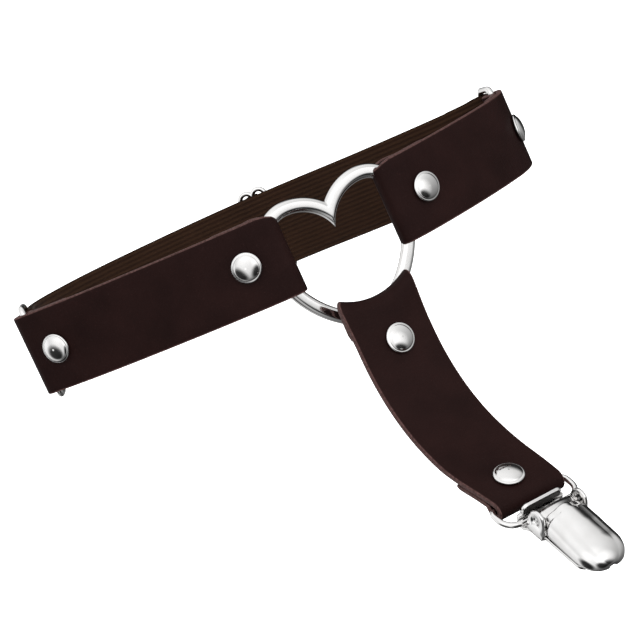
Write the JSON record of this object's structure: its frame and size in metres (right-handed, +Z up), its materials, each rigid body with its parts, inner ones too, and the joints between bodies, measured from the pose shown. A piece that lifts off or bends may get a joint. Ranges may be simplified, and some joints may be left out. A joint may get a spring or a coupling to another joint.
{
  "type": "thigh garter",
  "caption": "Leather thigh band with a heart ring in front, elastic round the back and a riveted drop strap that ends in a garter clip.",
  "frame": {"origin": "middle of the thigh's opening, on the band's axis and half way up the band", "axes": "+Z up along the axis of the thigh, front of the band with the heart ring towards -Y, +X to the viewer's right"},
  "size_m": [0.132, 0.1211, 0.0953],
  "materials": {
    "leather": "smooth dark brown, satin",
    "webbing": "brown elastic with fine lengthwise ribs, matte",
    "metal": "polished bright plate"
  },
  "bodies": {
    "garter": {"left_strap": "leather", "right_strap": "leather", "drop_strap": "leather", "elastic_band": "webbing", "heart_ring": "metal", "left_ring": "metal", "right_ring": "metal", "slider": "metal", "rivet_left_heart": "metal", "rivet_left_end": "metal", "rivet_right_heart": "metal", "rivet_right_end": "metal", "rivet_drop_top": "metal", "rivet_drop_bottom": "metal", "clip_loop": "metal", "clip_base": "metal", "clip_pin": "metal"},
    "cover": {"clip_cover": "metal"}
  },
  "joints": [
    {"name": "clip_cover_hinge", "type": "hinge", "parent": "garter", "child": "cover", "pos_m": [0.03114, -0.07069, -0.07029], "axis": [-0.897, -0.4375, 0.0628], "range_deg": [0, 65]}
  ]
}
